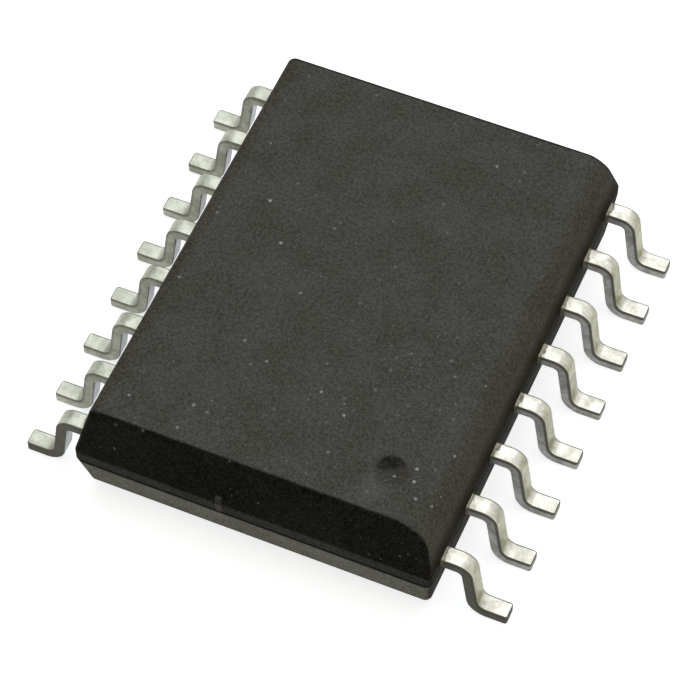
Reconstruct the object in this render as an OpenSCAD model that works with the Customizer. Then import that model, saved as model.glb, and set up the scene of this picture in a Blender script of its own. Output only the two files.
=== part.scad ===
// Wide-body small-outline package with sixteen gull-wing leads: a moulded epoxy body around a
// lead frame, with the silicon die, its bond wires and the die pad sealed inside.
// Origin: middle of the outline, on the seating plane that the feet stand on.
// +Z points up, +X runs across the two lead rows and +Y along them. Lead 1 is at +X, -Y, and the
// numbers run along +Y on the +X side and come back along the -X side. Millimetres.

/* [Outline] */
// Distance between neighbouring leads in a row
pitch = 1.27; // [1.2:0.01:1.3]
// Number of leads in each row
leads_per_side = 8; // [4:1:8]
// Distance across the package between the two rows of lead tips
lead_span = 10.3; // [10:0.05:10.65]
// Body width between the long side walls, at the parting band
body_width = 7.5; // [7.4:0.05:7.6]
// Body length between the end walls, at the parting band
body_length = 10.3; // [10.1:0.05:10.5]
// Height of the top face above the seating plane
overall_height = 2.6; // [2.5:0.01:2.65]
// Gap between the seating plane and the underside of the body
standoff = 0.2; // [0.1:0.05:0.3]
// Height of the upper face of the lead shoulders above the seating plane
shoulder_height = 1.5; // [1.4:0.05:1.6]

/* [Moulded body] */
// Lean of the end walls of the upper half, in degrees
upper_end_draft = 17; // [5:0.5:20]
// Lean of the long side walls of the upper half, in degrees
upper_side_draft = 13.5; // [5:0.5:18]
// Lean of the end walls of the lower half, in degrees
lower_end_draft = 15; // [5:0.5:18]
// Lean of the long side walls of the lower half, in degrees
lower_side_draft = 6; // [4:0.5:15]
// Radius of the four upright corners
corner_radius = 0.14; // [0.1:0.01:0.25]
// Radius of the top edge along both ends
end_edge_radius = 0.12; // [0.05:0.01:0.2]
// Radius of the top edge along the plain long side
side_edge_radius = 0.14; // [0.05:0.01:0.3]
// Radius of the broad rounded bevel along the top edge on the lead 1 side
bevel_radius = 0.52; // [0.3:0.02:0.7]
// Radius of the edge round the underside
bottom_radius = 0.05; // [0.02:0.01:0.08]
// Depth of the fine groove that the two mould halves leave round the body
parting_depth = 0.03; // [0.01:0.005:0.05]
// Height of the groove, just under the plane of the leads
parting_gap = 0.04; // [0.02:0.01:0.06]
// Height of the small upright flat that stands over each tie bar on the sloping end wall
tie_flat_height = 0.2; // [0.1:0.01:0.4]
// Diameter of the round dimple that marks lead 1
dimple_diameter = 0.6; // [0.4:0.05:1]
// Depth of the lead 1 dimple at its middle
dimple_depth = 0.1; // [0.03:0.01:0.12]
// Distance of the dimple's middle from the lead 1 side wall
dimple_from_side = 1.38; // [1.1:0.01:2]
// Distance of the dimple's middle from the lead 1 end wall
dimple_from_end = 1.39; // [1.1:0.01:2]
// Diameter of the two round ejector-pin marks in the underside
ejector_diameter = 1; // [0.6:0.1:1.5]
// Depth of the ejector-pin marks
ejector_depth = 0.04; // [0.02:0.01:0.06]
// Distance of each ejector-pin mark from the middle of the body
ejector_offset = 3; // [1:0.1:3.8]

/* [Gull-wing leads] */
// Width of a lead along the row
lead_width = 0.38; // [0.31:0.01:0.45]
// Thickness of the lead frame metal
lead_thickness = 0.23; // [0.2:0.01:0.3]
// Lean of the leg outwards from upright, in degrees
leg_angle = 8; // [2:1:12]
// Inside radius of the bend between shoulder and leg
shoulder_bend = 0.12; // [0.08:0.01:0.15]
// Inside radius of the bend between leg and foot
foot_bend = 0.2; // [0.12:0.01:0.25]
// Length of the flat sole of the foot, from the end of the bend to the tip
foot_length = 0.43; // [0.35:0.01:0.5]
// Radius of the two corners of the toe, seen from above
toe_radius = 0.06; // [0.04:0.01:0.14]

/* [Lead frame inside the body] */
// Width of the mould anchor, where a lead widens inside the body
anchor_width = 0.6; // [0.5:0.01:0.8]
// Length of the mould anchor, inwards from its outer edge
anchor_length = 0.35; // [0.2:0.05:0.5]
// Depth of resin between the side wall and the mould anchor
anchor_cover = 0.35; // [0.25:0.05:0.5]
// Distance of the inner tips from the middle line of the body
finger_tip = 2.1; // [2:0.05:2.3]
// Length of the straight tip that the bond wire is welded to
tip_length = 0.4; // [0.3:0.05:0.5]
// Pitch of the inner tips as a share of the lead pitch
finger_fan = 0.62; // [0.55:0.01:0.8]
// Size of the die pad across the lead rows
pad_width = 3.6; // [3:0.1:3.8]
// Size of the die pad along the lead rows
pad_length = 5.2; // [4:0.1:6]
// Drop of the die pad below the plane of the leads
pad_downset = 0.25; // [0.1:0.05:0.4]
// Width of the two tie bars that carry the die pad
tie_width = 0.14; // [0.12:0.01:0.4]
// Place of the tie bars across the body, from its middle line
tie_offset = -0.65; // [-1.2:0.05:1.2]

/* [Die and bond wires] */
// Size of the die across the lead rows
die_width = 2.4; // [1.5:0.1:2.6]
// Size of the die along the lead rows
die_length = 3.2; // [2:0.1:3.8]
// Thickness of the die
die_thickness = 0.28; // [0.2:0.01:0.35]
// Thickness of the adhesive layer under the die
attach_thickness = 0.03; // [0.02:0.01:0.05]
// Width of adhesive that shows round the die
attach_margin = 0.06; // [0.02:0.01:0.15]
// Distance of the bond pads in from the edges of the die
bond_inset = 0.15; // [0.1:0.01:0.3]
// Distance of a wire's outer bond in from the tip of its lead
stitch_inset = 0.15; // [0.1:0.01:0.25]
// Diameter of the bond wire
wire_diameter = 0.05; // [0.04:0.005:0.06]
// Diameter of the flattened bonds at the two ends of a wire
bond_diameter = 0.11; // [0.09:0.01:0.14]
// Height of the flattened bonds
bond_height = 0.03; // [0.02:0.005:0.04]
// Half of the angle that a wire loop bends through, in degrees
loop_half_angle = 55; // [35:5:60]

/* [Hidden] */
$fn = 32;
bend_steps = 8; // flats round each bend of a lead
wire_sides = 8; // flats round a bond wire
corner_steps = 6; // flats round an upright corner of the body
edge_steps = 9; // flats round the bevel, which set the heights for the other top edges too
wire_clearance = 0.005; // between a wire's end and the surface under its bond

lead_count = 2 * leads_per_side;
lead_floor = shoulder_height - lead_thickness; // underside of the lead frame in the body
pad_floor = lead_floor - pad_downset;
pad_top = shoulder_height - pad_downset;
die_floor = pad_top + attach_thickness;
die_top = die_floor + die_thickness;
bend_outside = shoulder_bend + lead_thickness;
heel_outside = foot_bend + lead_thickness;

// Bond pads share out the die's length, whatever the lead pitch.
bond_pitch = (die_length - 2 * bond_inset) / (leads_per_side - 1);

function two_digits(n) = n < 10 ? str("0", n) : str(n);
function lead_name(n) = str("lead_", two_digits(n));
function wire_name(n) = str("bond_wire_", two_digits(n));

// Side of the body that lead n is on, and its place in the row counted from the middle.
function side(n) = n <= leads_per_side ? 1 : -1;
function row_place(n) =
    (n <= leads_per_side ? n - 1 : lead_count - n) - (leads_per_side - 1) / 2;

// Points on an arc about a centre, from one angle to another.
function arc(centre, radius, from, to) = [
    for (i = [0 : bend_steps])
        let (a = from + (to - from) * i / bend_steps)
        centre + radius * [cos(a), sin(a)]
];

// ---- Moulded body ----

// How far a wall of the upper half has drawn in at height z, by its draft and its rounded edge.
function upper_draw(z, draft, radius) =
    (z - shoulder_height) * tan(draft) + round_draw(z - overall_height, radius);

// The same for the lower half, which draws in downwards.
function lower_draw(z, draft) =
    (lead_floor - z) * tan(draft) + round_draw(standoff - z, bottom_radius);

// Extra draw of a rounded edge, a signed distance past the edge: none below the round.
function round_draw(past, radius) =
    past <= -radius ? 0 : radius - sqrt(max(0, pow(radius, 2) - pow(past + radius, 2)));

// Distances from a rounded edge at which the outline is drawn, closer together at the edge.
function round_steps(radius, steps) =
    [for (i = [0 : steps]) radius * (1 - sin(90 * i / steps))];

// Points of one rounded corner at height z, anticlockwise about its centre.
function corner(centre, start, z) = [
    for (i = [0 : corner_steps])
        let (a = start + 90 * i / corner_steps)
        [centre.x + corner_radius * cos(a), centre.y + corner_radius * sin(a), z]
];

// Outline of the body at height z, with the walls set in from the plain side, the lead 1 side
// and the ends. Every corner keeps its radius, so the faces between two outlines are flat.
function outline(z, plain_in, lead_1_in, end_in) =
    let (
        left = corner_radius + plain_in - body_width / 2,
        right = body_width / 2 - lead_1_in - corner_radius,
        back = body_length / 2 - end_in - corner_radius
    )
    concat(
        corner([right, back], 0, z), corner([left, back], 90, z),
        corner([left, -back], 180, z), corner([right, -back], 270, z)
    );

function lower_outline(z) =
    let (side_in = lower_draw(z, lower_side_draft))
    outline(z, side_in, side_in, lower_draw(z, lower_end_draft));

function groove_outline(z) = outline(z, parting_depth, parting_depth, parting_depth);

function upper_outline(z) = outline(
    z,
    upper_draw(z, upper_side_draft, side_edge_radius),
    upper_draw(z, upper_side_draft, bevel_radius),
    upper_draw(z, upper_end_draft, end_edge_radius)
);

// A solid through a stack of outlines that all have the same number of points, lowest first.
module skin(outlines) {
    around = len(outlines[0]);
    top = len(outlines) - 1;
    polyhedron(
        points = [for (ring = outlines) each ring],
        faces = concat(
            [[for (i = [0 : around - 1]) i]],
            [
                for (k = [0 : top - 1], i = [0 : around - 1])
                    let (here = k * around, next = (i + 1) % around)
                    [here + around + i, here + around + next, here + next, here + i]
            ],
            [[for (i = [around - 1 : -1 : 0]) top * around + i]]
        )
    );
}

// Lower half, parting groove, upright band in the plane of the leads, and upper half.
module drafted_block() {
    groove_floor = lead_floor - parting_gap;
    skin(concat(
        [for (d = reversed(round_steps(bottom_radius, 4))) lower_outline(standoff + d)],
        [lower_outline(groove_floor), groove_outline(groove_floor), groove_outline(lead_floor)],
        [outline(lead_floor, 0, 0, 0)],
        [for (z = concat(
            [shoulder_height],
            [for (d = round_steps(bevel_radius, edge_steps)) overall_height - d]
        )) upper_outline(z)]
    ));
}

function reversed(list) = [for (i = [len(list) - 1 : -1 : 0]) list[i]];

// Upright flats over the tie bars: their outer faces run on from the parting band.
module tie_flats() {
    translate([tie_offset - tie_width / 2, -body_length / 2, lead_floor])
        cube([tie_width, body_length, lead_thickness + tie_flat_height]);
}

module body_block() {
    drafted_block();
    tie_flats();
}

// Shallow dish: the cap of a sphere that cuts the top face in a circle.
module dimple() {
    radius = (pow(dimple_diameter / 2, 2) + pow(dimple_depth, 2)) / (2 * dimple_depth);
    translate([
        body_width / 2 - dimple_from_side,
        dimple_from_end - body_length / 2,
        overall_height - dimple_depth + radius
    ])
        sphere(r = radius, $fn = 96);
}

module ejector_marks() {
    for (y = [-ejector_offset, ejector_offset])
        translate([0, y, standoff - ejector_depth])
            cylinder(d = ejector_diameter, h = 2 * ejector_depth, $fn = 48);
}

module moulded_body() {
    color("#3b3b38")
    difference() {
        body_block();
        dimple();
        ejector_marks();
        for (n = [1 : lead_count]) {
            lead(n);
            bond_wire(n);
        }
        die_pad();
        die_attach();
        silicon_die();
    }
}

// ---- Leads ----

// Side view of the part of a lead outside the body, X outwards and Y up.
// Both bends are arcs, and the shoulder takes up what the foot and the bends leave of the span.
module gull_wing_profile() {
    heel = [lead_span / 2 - foot_length, heel_outside];
    bend_height = shoulder_height - bend_outside;
    lean = (heel.y - bend_height) * tan(leg_angle);
    bend = [heel.x + lean - (foot_bend + bend_outside) / cos(leg_angle), bend_height];
    polygon(concat(
        [[body_width / 2, shoulder_height]],
        arc(bend, bend_outside, 90, leg_angle),
        arc(heel, foot_bend, 180 + leg_angle, 270),
        [[lead_span / 2, lead_thickness], [lead_span / 2, 0]],
        arc(heel, heel_outside, 270, 180 + leg_angle),
        arc(bend, shoulder_bend, leg_angle, 90),
        [[body_width / 2, lead_floor]]
    ));
}

// Plan of the part of a lead sealed in the body: a straight root, a wider anchor that the resin
// grips, and a finger that slants to its tip beside the die pad.
module finger_plan(pin_y) {
    root = body_width / 2;
    anchor_out = root - anchor_cover;
    anchor_in = anchor_out - anchor_length;
    tip_y = pin_y * finger_fan;
    half = lead_width / 2;
    polygon([
        [root, pin_y - half], [anchor_out, pin_y - half],
        [anchor_out, pin_y - anchor_width / 2], [anchor_in, pin_y - anchor_width / 2],
        [anchor_in, pin_y - half], [finger_tip + tip_length, tip_y - half],
        [finger_tip, tip_y - half], [finger_tip, tip_y + half],
        [finger_tip + tip_length, tip_y + half], [anchor_in, pin_y + half],
        [anchor_in, pin_y + anchor_width / 2], [anchor_out, pin_y + anchor_width / 2],
        [anchor_out, pin_y + half], [root, pin_y + half]
    ]);
}

// Outline of the part of a lead outside the body, seen from above, with its rounded toe.
module toe_plan(pin_y) {
    reach = lead_span / 2;
    half = lead_width / 2;
    translate([body_width / 2, pin_y - half])
        square([reach - toe_radius - body_width / 2, lead_width]);
    translate([body_width / 2, pin_y - half + toe_radius])
        square([reach - body_width / 2, lead_width - 2 * toe_radius]);
    for (y = [-1, 1])
        translate([reach - toe_radius, pin_y + y * (half - toe_radius)])
            circle(r = toe_radius);
}

module lead(n) {
    pin_y = row_place(n) * pitch;
    color("#c9c8bb")
    mirror([side(n) < 0 ? 1 : 0, 0, 0]) {
        intersection() {
            translate([0, pin_y + lead_width / 2, 0])
                rotate([90, 0, 0])
                    linear_extrude(lead_width) gull_wing_profile();
            linear_extrude(shoulder_height) toe_plan(pin_y);
        }
        translate([0, 0, lead_floor])
            linear_extrude(lead_thickness) finger_plan(pin_y);
    }
}

// ---- Die pad, adhesive and die ----

module die_pad() {
    run = body_length / 2;
    bend = pad_length / 2 + lead_thickness;
    color("#b87a4b") {
        translate([-pad_width / 2, -pad_length / 2, pad_floor])
            cube([pad_width, pad_length, lead_thickness]);
        // Each tie bar steps up from the pad to the plane of the leads and ends in the end wall.
        for (end = [0, 1])
            mirror([0, end, 0])
                translate([tie_offset - tie_width / 2, 0, 0])
                    rotate([90, 0, 90])
                        linear_extrude(tie_width)
                            polygon([
                                [0, pad_floor], [bend, pad_floor],
                                [bend + pad_downset, lead_floor], [run, lead_floor],
                                [run, shoulder_height], [bend + pad_downset, shoulder_height],
                                [bend, pad_top], [0, pad_top]
                            ]);
    }
}

module die_attach() {
    color("#d8d8d4")
    translate([-die_width / 2 - attach_margin, -die_length / 2 - attach_margin, pad_top])
        cube([die_width + 2 * attach_margin, die_length + 2 * attach_margin, attach_thickness]);
}

module silicon_die() {
    color("#5a6472")
    translate([-die_width / 2, -die_length / 2, die_floor])
        cube([die_width, die_length, die_thickness]);
}

// ---- Bond wires ----

// A flattened bond, standing on the surface that it is welded to.
module bond() {
    cylinder(d = bond_diameter, h = bond_height);
}

// One wire: an arc from the die's bond pad to the tip of its lead, with a bond under each end.
// The ends of the arc stay inside the two bonds, clear of the surfaces below them.
module bond_wire(n) {
    inner = [side(n) * (die_width / 2 - bond_inset), row_place(n) * bond_pitch, die_top];
    outer = [
        side(n) * (finger_tip + stitch_inset),
        row_place(n) * pitch * finger_fan,
        shoulder_height
    ];
    lift = wire_diameter / 2 * cos(loop_half_angle) + wire_clearance;
    step = outer - inner;
    flat = norm([step.x, step.y]);
    chord = norm(step);
    radius = chord / 2 / sin(loop_half_angle);
    color("#d9b45b") {
        translate(inner) bond();
        translate(outer) bond();
        translate(inner + [0, 0, lift])
            rotate([0, -atan2(step.z, flat), atan2(step.y, step.x)])
                translate([chord / 2, 0, -radius * cos(loop_half_angle)])
                    rotate([90, 0, 0])
                        rotate([0, 0, 90 - loop_half_angle])
                            rotate_extrude(angle = 2 * loop_half_angle, $fn = 72)
                                translate([radius, 0])
                                    circle(d = wire_diameter, $fn = wire_sides);
    }
}

moulded_body();
die_pad();
die_attach();
silicon_die();
for (n = [1 : lead_count]) {
    lead(n);
    bond_wire(n);
}
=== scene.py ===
# %% [markdown]
# # A sixteen-lead small-outline chip
#
# The chip is a block of dark epoxy moulded round a metal lead frame. What shows of the frame is
# sixteen bent legs, called gull wings, that stand on the circuit board. This notebook takes the
# designer's solid model and gives it the finish of the real thing: a finely meshed body with
# its mould marks, legs with rolled and sheared faces, and a material for each.
#
# Every length below is in millimetres, because that is how a chip is drawn. The scene is in
# metres, so one factor turns the finished points into metres.

# %% Load the frame
import math

import bpy
import numpy as np
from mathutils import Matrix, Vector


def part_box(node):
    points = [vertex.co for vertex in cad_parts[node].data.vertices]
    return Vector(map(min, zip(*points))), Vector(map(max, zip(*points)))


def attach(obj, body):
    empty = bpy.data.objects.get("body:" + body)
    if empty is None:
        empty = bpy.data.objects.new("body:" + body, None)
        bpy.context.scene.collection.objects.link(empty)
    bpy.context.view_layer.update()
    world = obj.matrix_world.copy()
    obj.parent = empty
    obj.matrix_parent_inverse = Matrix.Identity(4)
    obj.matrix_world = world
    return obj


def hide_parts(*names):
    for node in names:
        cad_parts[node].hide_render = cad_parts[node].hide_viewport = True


MM = 0.001
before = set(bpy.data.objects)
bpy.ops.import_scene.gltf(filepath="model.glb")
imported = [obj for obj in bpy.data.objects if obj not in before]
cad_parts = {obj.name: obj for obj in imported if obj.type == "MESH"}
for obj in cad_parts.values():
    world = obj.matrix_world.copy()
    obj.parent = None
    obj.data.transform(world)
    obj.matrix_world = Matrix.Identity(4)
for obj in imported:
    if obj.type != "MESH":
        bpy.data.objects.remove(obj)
scene = bpy.context.scene
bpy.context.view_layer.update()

# %% [markdown]
# ## The sizes that the looks depend on
#
# The frame's boxes give the outer sizes, so the body and legs follow the solid model. The rest
# are the draft angles and radii that a box can't tell, in the designer's own values. A mould
# leaves every wall leaning, so that the part drops out, and it leaves the two halves meeting in
# a fine line. Here that line lies just under the plane of the legs.

# %% Sizes of the body and the legs
body_low, body_high = (np.array(corner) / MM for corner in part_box("moulded_body"))
_, lead_high = (np.array(corner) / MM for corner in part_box("lead_01"))
HALF_WIDTH = body_high[0]
HALF_LENGTH = body_high[1]
UNDERSIDE = body_low[2]
TOP = body_high[2]
LEAD_REACH = lead_high[0]
SHOULDER = lead_high[2]

LEAD_THICKNESS = 0.23
LEAD_WIDTH = 0.38
LEAD_PITCH = 1.27
LEADS_PER_SIDE = 8
LEAD_FLOOR = SHOULDER - LEAD_THICKNESS
print(f"body {2 * HALF_WIDTH:.2f} x {2 * HALF_LENGTH:.2f} mm, from {UNDERSIDE:.2f} to {TOP:.2f} mm")
print(f"legs reach {LEAD_REACH:.2f} mm out and {SHOULDER:.2f} mm up")

# %% [markdown]
# ## From rows of points to a closed skin
#
# Both the body and a leg can be seen as a stack of closed loops: the body's loops lie flat, one
# above the other, and a leg's loops stand across its path like slices of bread. If every loop
# has the same number of points, the faces between two loops are a plain grid, and numpy can
# number them all at once. A fan of triangles closes each end. The order of the points decides
# which way the faces look, so every stack here runs anticlockwise, seen from its last loop.

# %% Helpers that make a skin and an object
def skin(loops):
    """Points and faces of a closed skin through an array of loops, shape (loops, points, 3).

    Quad = this point, its neighbour, and the same two on the next loop. The first and last loop
    are each closed by triangles to the mean of their points.
    """
    count, around = loops.shape[:2]
    here = np.arange(count * around).reshape(count, around)
    beside = np.roll(here, -1, axis=1)
    quads = np.stack([here[:-1], beside[:-1], beside[1:], here[1:]], axis=-1).reshape(-1, 4)
    first = np.full(around, count * around)
    first_fan = np.stack([first, beside[0], here[0]], axis=-1)
    last_fan = np.stack([first + 1, here[-1], beside[-1]], axis=-1)
    points = np.concatenate([loops.reshape(-1, 3), loops[[0, -1]].mean(axis=1)])
    return points, quads.tolist() + first_fan.tolist() + last_fan.tolist()


def new_piece(name, points, faces, layers, crease):
    """A smooth-shaded object from points in mm, with named values per point as attributes.

    Edges that bend by more than the crease angle stay sharp in the shading.
    """
    mesh = bpy.data.meshes.new(name)
    mesh.from_pydata((points * MM).tolist(), [], faces)
    for key, values in layers.items():
        layer = mesh.attributes.new(key, "FLOAT", "POINT")
        layer.data.foreach_set("value", np.asarray(values, dtype=np.float32))
    mesh.shade_smooth()
    mesh.set_sharp_from_angle(angle=math.radians(crease))
    mesh.update()
    piece = bpy.data.objects.new(name, mesh)
    scene.collection.objects.link(piece)
    return piece


print("helpers ready")

# %% [markdown]
# ## The outline of the body at one height
#
# Seen from above, the body is a rectangle with rounded corners at every height. What changes
# with height is how far each wall has drawn in. The outline is worked out side by side, and
# its points along the two short sides stay at fixed places near the middle, because a narrow
# upright flat has to be cut there later.

# %% Outline of the body
CORNER_RADIUS = 0.14
CORNER_POINTS = 10
LONG_POINTS = 104
MIDDLE_POINTS = 49
STRETCHED_POINTS = 10
TIE_OFFSET = -0.65
TIE_HALF = 0.07
CRISP = 0.006
MIDDLE_HALF = 2.4
tie_edges = TIE_OFFSET + np.array([-1, 1]) * TIE_HALF
middle_x = np.union1d(
    np.linspace(-MIDDLE_HALF, MIDDLE_HALF, MIDDLE_POINTS),
    np.concatenate([tie_edges - CRISP, tie_edges + CRISP]),
)


def side_x(left, right):
    """Places of the points along a short side: fixed near the middle, stretched to its ends."""
    return np.concatenate([
        np.linspace(left, -MIDDLE_HALF, STRETCHED_POINTS)[1:-1],
        middle_x,
        np.linspace(MIDDLE_HALF, right, STRETCHED_POINTS)[1:-1],
    ])


def corner(x, y, start):
    """Quarter circle about (x, y), from the angle start, anticlockwise."""
    turn = start + np.linspace(0, math.pi / 2, CORNER_POINTS)
    return np.stack([x + CORNER_RADIUS * np.cos(turn), y + CORNER_RADIUS * np.sin(turn)], axis=-1)


def outline(z, plain_in, lead_1_in, end_in):
    """Loop at height z: the rounded rectangle, with each wall drawn in by its own amount."""
    left = CORNER_RADIUS + plain_in - HALF_WIDTH
    right = HALF_WIDTH - lead_1_in - CORNER_RADIUS
    back = HALF_LENGTH - end_in - CORNER_RADIUS
    long_y = np.linspace(-back, back, LONG_POINTS)[1:-1]
    short_x = side_x(left, right)
    flat = np.concatenate([
        np.stack([np.full_like(long_y, right + CORNER_RADIUS), long_y], axis=-1),
        corner(right, back, 0),
        np.stack([short_x[::-1], np.full_like(short_x, back + CORNER_RADIUS)], axis=-1),
        corner(left, back, math.pi / 2),
        np.stack([np.full_like(long_y, left - CORNER_RADIUS), long_y[::-1]], axis=-1),
        corner(left, -back, math.pi),
        np.stack([short_x, np.full_like(short_x, -back - CORNER_RADIUS)], axis=-1),
        corner(right, -back, 1.5 * math.pi),
    ])
    return np.column_stack([flat, np.full(len(flat), z)])


print("points in one outline:", len(outline(TOP, 0, 0, 0)))

# %% [markdown]
# ## Walls, edges and the line where the mould halves meet
#
# The walls lean by the draft angles, and three different radii round the top edge: small at the
# ends, larger on the plain side, and a broad one on the side of lead 1, where a real chip has
# its bevel. A rounded edge needs its loops close together where it turns fastest, so its
# heights are taken at equal angles. Two sunken loops make the groove at the parting line.

# %% Loops of the walls
UPPER_END_DRAFT, UPPER_SIDE_DRAFT = 17.0, 13.5
LOWER_END_DRAFT, LOWER_SIDE_DRAFT = 15.0, 6.0
END_EDGE, SIDE_EDGE, BEVEL, BOTTOM_EDGE = 0.12, 0.14, 0.52, 0.05
GROOVE_DEPTH, GROOVE_GAP = 0.03, 0.04
TIE_FLAT_HEIGHT = 0.20


def round_draw(place, radius):
    """Extra draw of a rounded edge: radius - sqrt(radius^2 - depth^2).

    The place is 0 where the round ends and negative before that, and the depth is at least 0.
    """
    depth = np.clip(place + radius, 0, radius)
    return radius - np.sqrt(radius**2 - depth**2)


def lean(height, degrees):
    """How far a wall has leaned in after rising by a height."""
    return height * math.tan(math.radians(degrees))


def upper_loop(z):
    """Outline of the upper half at height z."""
    return outline(
        z,
        lean(z - SHOULDER, UPPER_SIDE_DRAFT) + round_draw(z - TOP, SIDE_EDGE),
        lean(z - SHOULDER, UPPER_SIDE_DRAFT) + round_draw(z - TOP, BEVEL),
        lean(z - SHOULDER, UPPER_END_DRAFT) + round_draw(z - TOP, END_EDGE),
    )


def lower_loop(z):
    """Outline of the lower half, which draws in downwards."""
    side_in = lean(LEAD_FLOOR - z, LOWER_SIDE_DRAFT) + round_draw(UNDERSIDE - z, BOTTOM_EDGE)
    end_in = lean(LEAD_FLOOR - z, LOWER_END_DRAFT) + round_draw(UNDERSIDE - z, BOTTOM_EDGE)
    return outline(z, side_in, side_in, end_in)


def round_heights(radius, steps):
    """Distances from a rounded edge at equal angles: radius * (1 - sin(angle))."""
    return radius * (1 - np.sin(np.linspace(0, math.pi / 2, steps)))


groove_floor = LEAD_FLOOR - GROOVE_GAP
lower_heights = np.concatenate([
    UNDERSIDE + round_heights(BOTTOM_EDGE, 6)[::-1],
    np.linspace(UNDERSIDE + BOTTOM_EDGE, groove_floor, 9)[1:],
])
flat_top = SHOULDER + TIE_FLAT_HEIGHT
upper_heights = np.unique(np.round(np.concatenate([
    np.linspace(SHOULDER, TOP - BEVEL, 8),
    [SHOULDER + CRISP, flat_top - CRISP, flat_top + CRISP],
    TOP - round_heights(BEVEL, 16),
    TOP - round_heights(SIDE_EDGE, 8),
    TOP - round_heights(END_EDGE, 6),
]), 5))
wall_loops = [lower_loop(z) for z in lower_heights]
wall_loops += [outline(z, *[GROOVE_DEPTH] * 3) for z in (groove_floor + CRISP, LEAD_FLOOR - CRISP)]
bar_low, bar_high = LEAD_FLOOR + CRISP, SHOULDER - CRISP
band_heights = np.concatenate([[LEAD_FLOOR], np.linspace(bar_low, bar_high, 5)])
wall_loops += [outline(z, 0, 0, 0) for z in band_heights]
wall_loops += [upper_loop(z) for z in upper_heights]
walls = np.array(wall_loops)
print("loops in the walls:", len(walls))

# %% [markdown]
# ## The flats over the tie bars
#
# The die inside sits on a metal pad, held by two tie bars that run out through the end walls.
# Over each bar the mould has a narrow upright flat, cut into the sloping wall. The loops
# already have points at its edges, so it is enough to pull the points between them out to the
# plane of the parting band, up to the height of the flat. Just under the flat the bar's cut end
# shows in the band, so the resin's skin steps back a hair there and leaves the metal in front.

# %% Cut the two flats
BAR_RECESS = 0.015
END_ZONE = 1.0
x, y, z = np.moveaxis(walls, -1, 0)
by_bar = (np.abs(x - TIE_OFFSET) < TIE_HALF) & (np.abs(y) > HALF_LENGTH - END_ZONE)
on_flat = by_bar & (z > SHOULDER - CRISP) & (z < flat_top)
on_bar = by_bar & (z > LEAD_FLOOR) & (z < SHOULDER)
walls[..., 1] = np.where(on_flat, np.sign(y) * HALF_LENGTH, y)
walls[..., 1] = np.where(on_bar, np.sign(y) * (HALF_LENGTH - BAR_RECESS), walls[..., 1])
print("points on the flats:", int(on_flat.sum()), "and round the bars:", int(on_bar.sum()))

# %% [markdown]
# ## The top face and the dimple beside lead 1
#
# A dimple in the top face marks lead 1. Rings that shrink towards the middle of the face would
# cut across it, so here they shrink towards the dimple instead: each ring is a blend between
# the outline and the dimple's circle, point by point along straight lines. The face stays
# flat, and its last ring lies a hair outside the dimple. One ring rounds the rim over, and
# from there the rings follow the cap of a sphere down to its lowest point.

# %% Loops of the top face
DIMPLE_DIAMETER, DIMPLE_DEPTH = 0.6, 0.10
DIMPLE_FROM_SIDE, DIMPLE_FROM_END = 1.38, 1.39
RIM_ROUND, RIM_DROP, LEAST_DEPTH = 0.02, 0.002, 0.005
CAP_RINGS, LAST_RADIUS = 18, 0.01
dimple_x = HALF_WIDTH - DIMPLE_FROM_SIDE
dimple_y = DIMPLE_FROM_END - HALF_LENGTH
top_edge = walls[-1]
bearing = np.arctan2(top_edge[:, 1] - dimple_y, top_edge[:, 0] - dimple_x)


def dimple_ring(radius, z):
    """Circle about the dimple's middle, its points in the directions of the outline's."""
    return np.column_stack([
        dimple_x + radius * np.cos(bearing),
        dimple_y + radius * np.sin(bearing),
        np.full(len(bearing), z),
    ])


def dish_depth(radius):
    """Depth of the spherical cap at a radius: sqrt(R^2 - r^2) - (R - depth)."""
    half = DIMPLE_DIAMETER / 2
    sphere = (half**2 + DIMPLE_DEPTH**2) / (2 * DIMPLE_DEPTH)
    return np.sqrt(sphere**2 - radius**2) - (sphere - DIMPLE_DEPTH)


dimple_radius = DIMPLE_DIAMETER / 2
rim = dimple_ring(dimple_radius + RIM_ROUND, TOP)
shares = np.concatenate([[0.004, 0.02], np.linspace(0.08, 1.0, 16)])
top_loops = [top_edge + share * (rim - top_edge) for share in shares]
top_loops.append(dimple_ring(dimple_radius + RIM_ROUND / 2, TOP - RIM_DROP))
for radius in np.linspace(dimple_radius, LAST_RADIUS, CAP_RINGS):
    top_loops.append(dimple_ring(radius, TOP - max(dish_depth(radius), LEAST_DEPTH)))
print("loops on the top face:", len(top_loops))

# %% [markdown]
# ## The underside and its ejector marks
#
# Pins push the finished part out of the mould and leave two shallow round marks. The underside
# is made of ever smaller copies of the lowest outline. The marks are then pressed in by a
# formula: a point sinks by the full depth inside the circle, by nothing outside it, and
# smoothly in between.

# %% Loops of the underside
EJECTOR_RADIUS, EJECTOR_DEPTH, EJECTOR_OFFSET = 0.5, 0.04, 3.0
EJECTOR_WALL = 0.06
scales = np.concatenate([np.linspace(0.01, 0.99, 84), [0.998]])
underside = walls[0] * np.stack([scales, scales, np.ones_like(scales)], axis=-1)[:, None, :]
distance = np.hypot(underside[..., 0], np.abs(underside[..., 1]) - EJECTOR_OFFSET)
sunk = np.clip((EJECTOR_RADIUS - distance) / EJECTOR_WALL, 0, 1)
underside[..., 2] += EJECTOR_DEPTH * sunk**2 * (3 - 2 * sunk)
print("deepest mark in mm:", round(float(underside[..., 2].max() - UNDERSIDE), 3))

# %% [markdown]
# ## One skin for the whole body
#
# Underside, walls and top follow each other loop by loop, so one call makes the closed skin.
# The body stands in for the frame's coarser solid.

# %% Make the body
body_loops = np.concatenate([underside, walls, np.array(top_loops)])
body_points, body_faces = skin(body_loops)
body = new_piece("epoxy_body", body_points, body_faces, {}, crease=40)
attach(body, "root")
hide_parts("moulded_body")
print("body faces:", len(body.data.polygons))

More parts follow.
